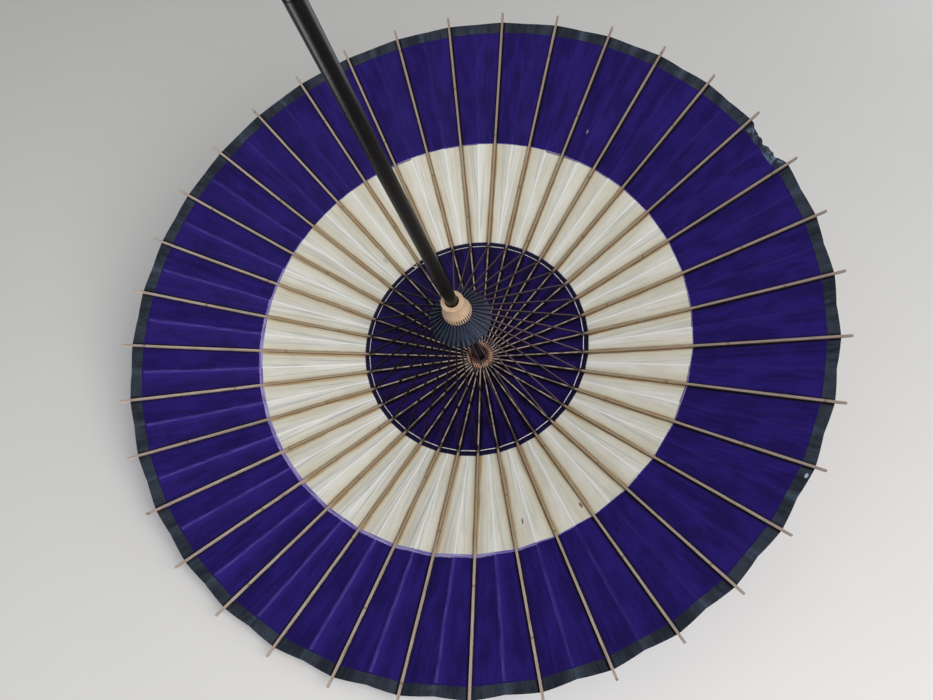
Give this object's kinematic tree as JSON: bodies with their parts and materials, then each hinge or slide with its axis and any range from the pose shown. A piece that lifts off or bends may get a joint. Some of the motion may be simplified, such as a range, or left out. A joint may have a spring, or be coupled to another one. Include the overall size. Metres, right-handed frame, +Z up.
{
  "type": "oil paper umbrella",
  "caption": "Open hand umbrella: round pole, slotted head and sliding runner, thin bamboo ribs and stretchers, and a shallow conical paper canopy in coloured rings.",
  "frame": {"origin": "centre of the pole's lower end, where a hand or a stand's socket holds it", "axes": "+Z up along the pole from its lower end to the head; +X towards the first rib"},
  "size_m": [1, 1, 0.826],
  "materials": {
    "lacquer_black": "black lacquer over a straight pole, soft gloss",
    "plug_wood": "dark stained wood",
    "head_wood": "turned pinkish-brown wood, matt",
    "bamboo_nail": "split bamboo",
    "thread_dark": "dark twisted thread",
    "cover_paper": "black lacquered paper",
    "cord_dark": "dark twisted cord",
    "runner_wood": "turned pale wood, smooth",
    "thread_pale": "pale thread",
    "stretcher_lacquer": "dark lacquered bamboo strips",
    "collar_paper": "slate-blue oiled paper",
    "thread_white": "white cotton thread",
    "catch_bamboo": "springy bamboo leaf",
    "paper_violet": "dark violet oiled paper",
    "paper_white": "cream-white oiled paper with resin halos along the ribs",
    "paper_ultramarine": "deep ultramarine oiled paper, faint radial creases",
    "paper_slate": "slate-grey rim strip",
    "bamboo_rib": "pale split bamboo with dark glued edges"
  },
  "bodies": {
    "shaft_and_head": {"shaft": "lacquer_black", "end_plug": "plug_wood", "head_hub": "head_wood", "head_nail": "bamboo_nail", "head_thread": "thread_dark", "head_cover": "cover_paper", "cover_cord": "cord_dark", "catch_spring": "catch_bamboo", "catch_pin": "bamboo_nail", "paper_disc": "paper_violet", "paper_ring": "paper_white", "paper_band": "paper_ultramarine", "paper_rim": "paper_slate", "joint_thread": "thread_white"},
    "runner": {"runner": "runner_wood", "runner_thread": "thread_pale", "stretchers": "stretcher_lacquer", "runner_collar": "collar_paper"},
    "rib_01": {"rib_01": "bamboo_rib"},
    "rib_02": {"rib_02": "bamboo_rib"},
    "rib_03": {"rib_03": "bamboo_rib"},
    "rib_04": {"rib_04": "bamboo_rib"},
    "rib_05": {"rib_05": "bamboo_rib"},
    "rib_06": {"rib_06": "bamboo_rib"},
    "rib_07": {"rib_07": "bamboo_rib"},
    "rib_08": {"rib_08": "bamboo_rib"},
    "rib_09": {"rib_09": "bamboo_rib"},
    "rib_10": {"rib_10": "bamboo_rib"},
    "rib_11": {"rib_11": "bamboo_rib"},
    "rib_12": {"rib_12": "bamboo_rib"},
    "rib_13": {"rib_13": "bamboo_rib"},
    "rib_14": {"rib_14": "bamboo_rib"},
    "rib_15": {"rib_15": "bamboo_rib"},
    "rib_16": {"rib_16": "bamboo_rib"},
    "rib_17": {"rib_17": "bamboo_rib"},
    "rib_18": {"rib_18": "bamboo_rib"},
    "rib_19": {"rib_19": "bamboo_rib"},
    "rib_20": {"rib_20": "bamboo_rib"},
    "rib_21": {"rib_21": "bamboo_rib"},
    "rib_22": {"rib_22": "bamboo_rib"},
    "rib_23": {"rib_23": "bamboo_rib"},
    "rib_24": {"rib_24": "bamboo_rib"},
    "rib_25": {"rib_25": "bamboo_rib"},
    "rib_26": {"rib_26": "bamboo_rib"},
    "rib_27": {"rib_27": "bamboo_rib"},
    "rib_28": {"rib_28": "bamboo_rib"},
    "rib_29": {"rib_29": "bamboo_rib"},
    "rib_30": {"rib_30": "bamboo_rib"},
    "rib_31": {"rib_31": "bamboo_rib"},
    "rib_32": {"rib_32": "bamboo_rib"},
    "rib_33": {"rib_33": "bamboo_rib"},
    "rib_34": {"rib_34": "bamboo_rib"},
    "rib_35": {"rib_35": "bamboo_rib"},
    "rib_36": {"rib_36": "bamboo_rib"}
  },
  "joints": [
    {"name": "runner_slide", "type": "slide", "parent": "shaft_and_head", "child": "runner", "axis": [0, 0, -1], "range_m": [0, 0.1694], "deforming": ["stretchers", "runner_collar", "catch_spring", "joint_thread", "paper_disc", "paper_ring", "paper_band", "paper_rim"]},
    {"name": "rib_01_hinge", "type": "hinge", "parent": "shaft_and_head", "child": "rib_01", "pos_m": [0.016, 0, 0.8], "axis": [0, 1, 0], "range_deg": [0, 67.12]},
    {"name": "rib_02_hinge", "type": "hinge", "parent": "shaft_and_head", "child": "rib_02", "pos_m": [0.01576, 0.00278, 0.8], "axis": [-0.1736, 0.9848, 0], "range_deg": [0, 67.12]},
    {"name": "rib_03_hinge", "type": "hinge", "parent": "shaft_and_head", "child": "rib_03", "pos_m": [0.01504, 0.00547, 0.8], "axis": [-0.342, 0.9397, 0], "range_deg": [0, 67.12]},
    {"name": "rib_04_hinge", "type": "hinge", "parent": "shaft_and_head", "child": "rib_04", "pos_m": [0.01386, 0.008, 0.8], "axis": [-0.5, 0.866, 0], "range_deg": [0, 67.12]},
    {"name": "rib_05_hinge", "type": "hinge", "parent": "shaft_and_head", "child": "rib_05", "pos_m": [0.01226, 0.01028, 0.8], "axis": [-0.6428, 0.766, 0], "range_deg": [0, 67.12]},
    {"name": "rib_06_hinge", "type": "hinge", "parent": "shaft_and_head", "child": "rib_06", "pos_m": [0.01028, 0.01226, 0.8], "axis": [-0.766, 0.6428, 0], "range_deg": [0, 67.12]},
    {"name": "rib_07_hinge", "type": "hinge", "parent": "shaft_and_head", "child": "rib_07", "pos_m": [0.008, 0.01386, 0.8], "axis": [-0.866, 0.5, 0], "range_deg": [0, 67.12]},
    {"name": "rib_08_hinge", "type": "hinge", "parent": "shaft_and_head", "child": "rib_08", "pos_m": [0.00547, 0.01504, 0.8], "axis": [-0.9397, 0.342, 0], "range_deg": [0, 67.12]},
    {"name": "rib_09_hinge", "type": "hinge", "parent": "shaft_and_head", "child": "rib_09", "pos_m": [0.00278, 0.01576, 0.8], "axis": [-0.9848, 0.1736, 0], "range_deg": [0, 67.12]},
    {"name": "rib_10_hinge", "type": "hinge", "parent": "shaft_and_head", "child": "rib_10", "pos_m": [0, 0.016, 0.8], "axis": [-1, 0, 0], "range_deg": [0, 67.12]},
    {"name": "rib_11_hinge", "type": "hinge", "parent": "shaft_and_head", "child": "rib_11", "pos_m": [-0.00278, 0.01576, 0.8], "axis": [-0.9848, -0.1736, 0], "range_deg": [0, 67.12]},
    {"name": "rib_12_hinge", "type": "hinge", "parent": "shaft_and_head", "child": "rib_12", "pos_m": [-0.00547, 0.01504, 0.8], "axis": [-0.9397, -0.342, 0], "range_deg": [0, 67.12]},
    {"name": "rib_13_hinge", "type": "hinge", "parent": "shaft_and_head", "child": "rib_13", "pos_m": [-0.008, 0.01386, 0.8], "axis": [-0.866, -0.5, 0], "range_deg": [0, 67.12]},
    {"name": "rib_14_hinge", "type": "hinge", "parent": "shaft_and_head", "child": "rib_14", "pos_m": [-0.01028, 0.01226, 0.8], "axis": [-0.766, -0.6428, 0], "range_deg": [0, 67.12]},
    {"name": "rib_15_hinge", "type": "hinge", "parent": "shaft_and_head", "child": "rib_15", "pos_m": [-0.01226, 0.01028, 0.8], "axis": [-0.6428, -0.766, 0], "range_deg": [0, 67.12]},
    {"name": "rib_16_hinge", "type": "hinge", "parent": "shaft_and_head", "child": "rib_16", "pos_m": [-0.01386, 0.008, 0.8], "axis": [-0.5, -0.866, 0], "range_deg": [0, 67.12]},
    {"name": "rib_17_hinge", "type": "hinge", "parent": "shaft_and_head", "child": "rib_17", "pos_m": [-0.01504, 0.00547, 0.8], "axis": [-0.342, -0.9397, 0], "range_deg": [0, 67.12]},
    {"name": "rib_18_hinge", "type": "hinge", "parent": "shaft_and_head", "child": "rib_18", "pos_m": [-0.01576, 0.00278, 0.8], "axis": [-0.1736, -0.9848, 0], "range_deg": [0, 67.12]},
    {"name": "rib_19_hinge", "type": "hinge", "parent": "shaft_and_head", "child": "rib_19", "pos_m": [-0.016, 0, 0.8], "axis": [0, -1, 0], "range_deg": [0, 67.12]},
    {"name": "rib_20_hinge", "type": "hinge", "parent": "shaft_and_head", "child": "rib_20", "pos_m": [-0.01576, -0.00278, 0.8], "axis": [0.1736, -0.9848, 0], "range_deg": [0, 67.12]},
    {"name": "rib_21_hinge", "type": "hinge", "parent": "shaft_and_head", "child": "rib_21", "pos_m": [-0.01504, -0.00547, 0.8], "axis": [0.342, -0.9397, 0], "range_deg": [0, 67.12]},
    {"name": "rib_22_hinge", "type": "hinge", "parent": "shaft_and_head", "child": "rib_22", "pos_m": [-0.01386, -0.008, 0.8], "axis": [0.5, -0.866, 0], "range_deg": [0, 67.12]},
    {"name": "rib_23_hinge", "type": "hinge", "parent": "shaft_and_head", "child": "rib_23", "pos_m": [-0.01226, -0.01028, 0.8], "axis": [0.6428, -0.766, 0], "range_deg": [0, 67.12]},
    {"name": "rib_24_hinge", "type": "hinge", "parent": "shaft_and_head", "child": "rib_24", "pos_m": [-0.01028, -0.01226, 0.8], "axis": [0.766, -0.6428, 0], "range_deg": [0, 67.12]},
    {"name": "rib_25_hinge", "type": "hinge", "parent": "shaft_and_head", "child": "rib_25", "pos_m": [-0.008, -0.01386, 0.8], "axis": [0.866, -0.5, 0], "range_deg": [0, 67.12]},
    {"name": "rib_26_hinge", "type": "hinge", "parent": "shaft_and_head", "child": "rib_26", "pos_m": [-0.00547, -0.01504, 0.8], "axis": [0.9397, -0.342, 0], "range_deg": [0, 67.12]},
    {"name": "rib_27_hinge", "type": "hinge", "parent": "shaft_and_head", "child": "rib_27", "pos_m": [-0.00278, -0.01576, 0.8], "axis": [0.9848, -0.1736, 0], "range_deg": [0, 67.12]},
    {"name": "rib_28_hinge", "type": "hinge", "parent": "shaft_and_head", "child": "rib_28", "pos_m": [0, -0.016, 0.8], "axis": [1, 0, 0], "range_deg": [0, 67.12]},
    {"name": "rib_29_hinge", "type": "hinge", "parent": "shaft_and_head", "child": "rib_29", "pos_m": [0.00278, -0.01576, 0.8], "axis": [0.9848, 0.1736, 0], "range_deg": [0, 67.12]},
    {"name": "rib_30_hinge", "type": "hinge", "parent": "shaft_and_head", "child": "rib_30", "pos_m": [0.00547, -0.01504, 0.8], "axis": [0.9397, 0.342, 0], "range_deg": [0, 67.12]},
    {"name": "rib_31_hinge", "type": "hinge", "parent": "shaft_and_head", "child": "rib_31", "pos_m": [0.008, -0.01386, 0.8], "axis": [0.866, 0.5, 0], "range_deg": [0, 67.12]},
    {"name": "rib_32_hinge", "type": "hinge", "parent": "shaft_and_head", "child": "rib_32", "pos_m": [0.01028, -0.01226, 0.8], "axis": [0.766, 0.6428, 0], "range_deg": [0, 67.12]},
    {"name": "rib_33_hinge", "type": "hinge", "parent": "shaft_and_head", "child": "rib_33", "pos_m": [0.01226, -0.01028, 0.8], "axis": [0.6428, 0.766, 0], "range_deg": [0, 67.12]},
    {"name": "rib_34_hinge", "type": "hinge", "parent": "shaft_and_head", "child": "rib_34", "pos_m": [0.01386, -0.008, 0.8], "axis": [0.5, 0.866, 0], "range_deg": [0, 67.12]},
    {"name": "rib_35_hinge", "type": "hinge", "parent": "shaft_and_head", "child": "rib_35", "pos_m": [0.01504, -0.00547, 0.8], "axis": [0.342, 0.9397, 0], "range_deg": [0, 67.12]},
    {"name": "rib_36_hinge", "type": "hinge", "parent": "shaft_and_head", "child": "rib_36", "pos_m": [0.01576, -0.00278, 0.8], "axis": [0.1736, 0.9848, 0], "range_deg": [0, 67.12]}
  ],
  "couplings": [
    {"joint": "rib_01_hinge", "follows": "runner_slide", "rad_per_m": 6.9046},
    {"joint": "rib_02_hinge", "follows": "runner_slide", "rad_per_m": 6.9046},
    {"joint": "rib_03_hinge", "follows": "runner_slide", "rad_per_m": 6.9046},
    {"joint": "rib_04_hinge", "follows": "runner_slide", "rad_per_m": 6.9046},
    {"joint": "rib_05_hinge", "follows": "runner_slide", "rad_per_m": 6.9046},
    {"joint": "rib_06_hinge", "follows": "runner_slide", "rad_per_m": 6.9046},
    {"joint": "rib_07_hinge", "follows": "runner_slide", "rad_per_m": 6.9046},
    {"joint": "rib_08_hinge", "follows": "runner_slide", "rad_per_m": 6.9046},
    {"joint": "rib_09_hinge", "follows": "runner_slide", "rad_per_m": 6.9046},
    {"joint": "rib_10_hinge", "follows": "runner_slide", "rad_per_m": 6.9046},
    {"joint": "rib_11_hinge", "follows": "runner_slide", "rad_per_m": 6.9046},
    {"joint": "rib_12_hinge", "follows": "runner_slide", "rad_per_m": 6.9046},
    {"joint": "rib_13_hinge", "follows": "runner_slide", "rad_per_m": 6.9046},
    {"joint": "rib_14_hinge", "follows": "runner_slide", "rad_per_m": 6.9046},
    {"joint": "rib_15_hinge", "follows": "runner_slide", "rad_per_m": 6.9046},
    {"joint": "rib_16_hinge", "follows": "runner_slide", "rad_per_m": 6.9046},
    {"joint": "rib_17_hinge", "follows": "runner_slide", "rad_per_m": 6.9046},
    {"joint": "rib_18_hinge", "follows": "runner_slide", "rad_per_m": 6.9046},
    {"joint": "rib_19_hinge", "follows": "runner_slide", "rad_per_m": 6.9046},
    {"joint": "rib_20_hinge", "follows": "runner_slide", "rad_per_m": 6.9046},
    {"joint": "rib_21_hinge", "follows": "runner_slide", "rad_per_m": 6.9046},
    {"joint": "rib_22_hinge", "follows": "runner_slide", "rad_per_m": 6.9046},
    {"joint": "rib_23_hinge", "follows": "runner_slide", "rad_per_m": 6.9046},
    {"joint": "rib_24_hinge", "follows": "runner_slide", "rad_per_m": 6.9046},
    {"joint": "rib_25_hinge", "follows": "runner_slide", "rad_per_m": 6.9046},
    {"joint": "rib_26_hinge", "follows": "runner_slide", "rad_per_m": 6.9046},
    {"joint": "rib_27_hinge", "follows": "runner_slide", "rad_per_m": 6.9046},
    {"joint": "rib_28_hinge", "follows": "runner_slide", "rad_per_m": 6.9046},
    {"joint": "rib_29_hinge", "follows": "runner_slide", "rad_per_m": 6.9046},
    {"joint": "rib_30_hinge", "follows": "runner_slide", "rad_per_m": 6.9046},
    {"joint": "rib_31_hinge", "follows": "runner_slide", "rad_per_m": 6.9046},
    {"joint": "rib_32_hinge", "follows": "runner_slide", "rad_per_m": 6.9046},
    {"joint": "rib_33_hinge", "follows": "runner_slide", "rad_per_m": 6.9046},
    {"joint": "rib_34_hinge", "follows": "runner_slide", "rad_per_m": 6.9046},
    {"joint": "rib_35_hinge", "follows": "runner_slide", "rad_per_m": 6.9046},
    {"joint": "rib_36_hinge", "follows": "runner_slide", "rad_per_m": 6.9046}
  ]
}
